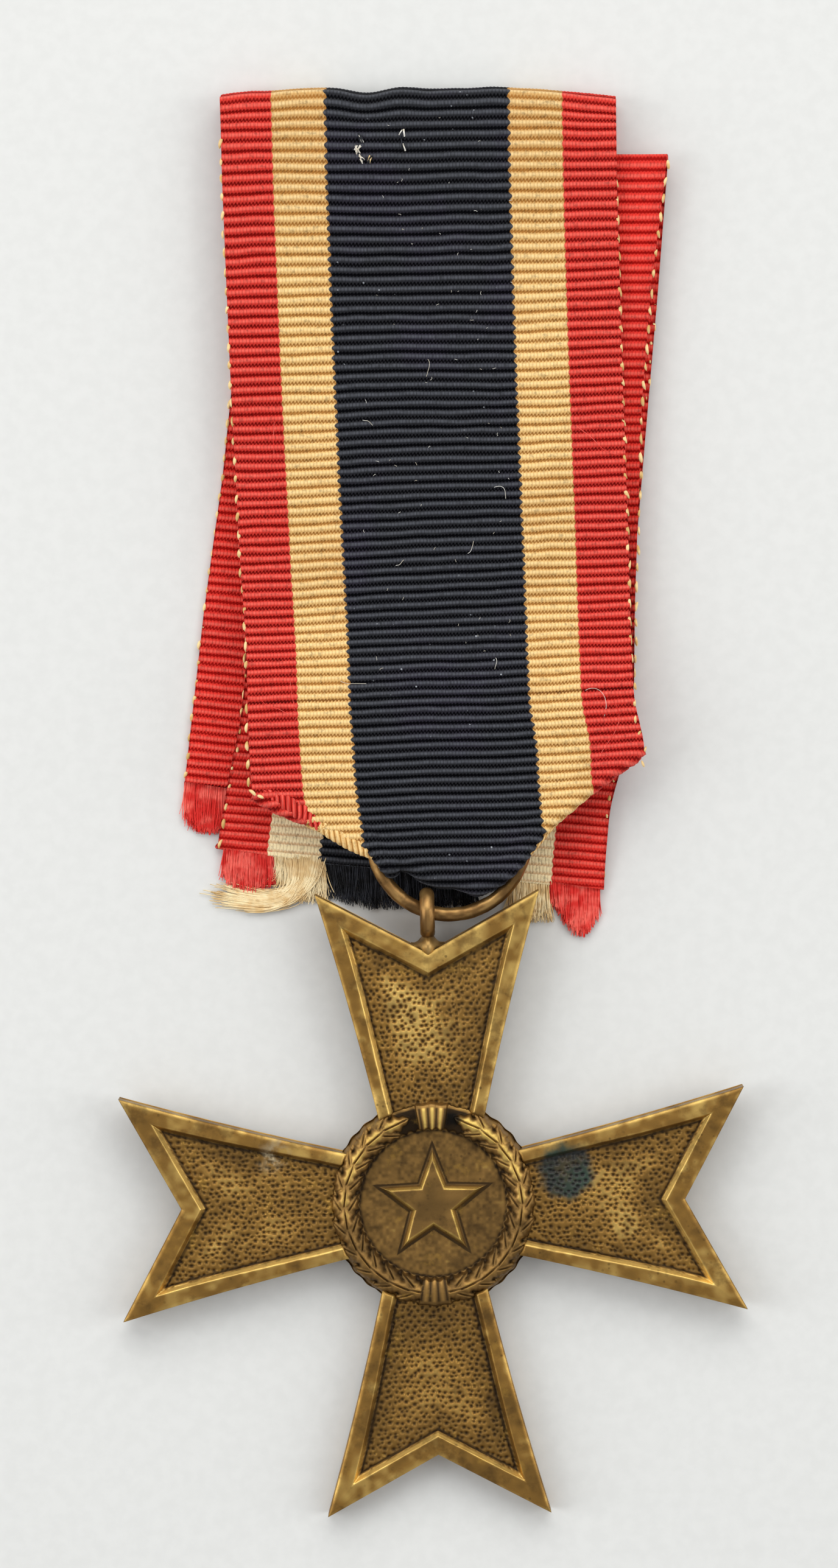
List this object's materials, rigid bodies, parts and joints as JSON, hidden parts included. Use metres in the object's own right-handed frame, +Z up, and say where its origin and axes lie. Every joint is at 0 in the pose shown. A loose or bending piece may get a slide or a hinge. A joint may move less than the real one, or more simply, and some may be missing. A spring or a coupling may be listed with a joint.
{
  "type": "medal",
  "caption": "Bronze service cross with a leaf-wreathed star, hung by an eye and ring from a folded striped ribbon.",
  "frame": {"origin": "on the ground under the middle of the whole object, as it lies face up", "axes": "+Y along the ribbon towards its top fold, +Z up out of the struck face, +X to the right when the face is read upright"},
  "size_m": [0.0486, 0.111, 0.0048],
  "materials": {
    "bronzed_metal": "struck bronze, dark patina in the recesses, rubbed golden on the high edges",
    "ring_wire": "drawn bronze wire, dulled",
    "solder": "dull cast fillet",
    "grosgrain_black": "ribbed grosgrain weave, dark stripe",
    "grosgrain_red": "ribbed grosgrain weave, red edge stripe",
    "loose_threads": "frayed cotton threads"
  },
  "bodies": {
    "ribbon": {"ribbon_front_panel": "grosgrain_black", "ribbon_top_fold": "grosgrain_black", "ribbon_outer_tail": "grosgrain_red", "ribbon_rear_fold": "grosgrain_red", "ribbon_back_panel": "grosgrain_red", "ribbon_inner_tail": "grosgrain_red", "outer_tail_fringe": "loose_threads", "inner_tail_fringe": "loose_threads", "stitch_thread_left": "loose_threads", "stitch_thread_right": "loose_threads"},
    "loop": {"ribbon_loop": "grosgrain_black"},
    "ring": {"suspension_ring": "ring_wire"},
    "medal": {"cross_planchet": "bronzed_metal", "suspension_eye": "ring_wire", "eye_solder": "solder"}
  },
  "joints": [
    {"name": "ribbon_flex", "type": "hinge", "parent": "ribbon", "child": "loop", "pos_m": [0.00121, 0.00447, 0.0034], "axis": [-1, 0, 0], "range_deg": [0, 75]},
    {"name": "ring_turn", "type": "hinge", "parent": "loop", "child": "ring", "pos_m": [0.00121, -0.00283, 0.0028], "axis": [0, 0, 1], "range_deg": [-10, 10]},
    {"name": "medal_tilt", "type": "hinge", "parent": "ring", "child": "medal", "pos_m": [-0.00047, -0.00863, 0.0028], "axis": [-1, 0, 0], "range_deg": [-35, 60]}
  ]
}
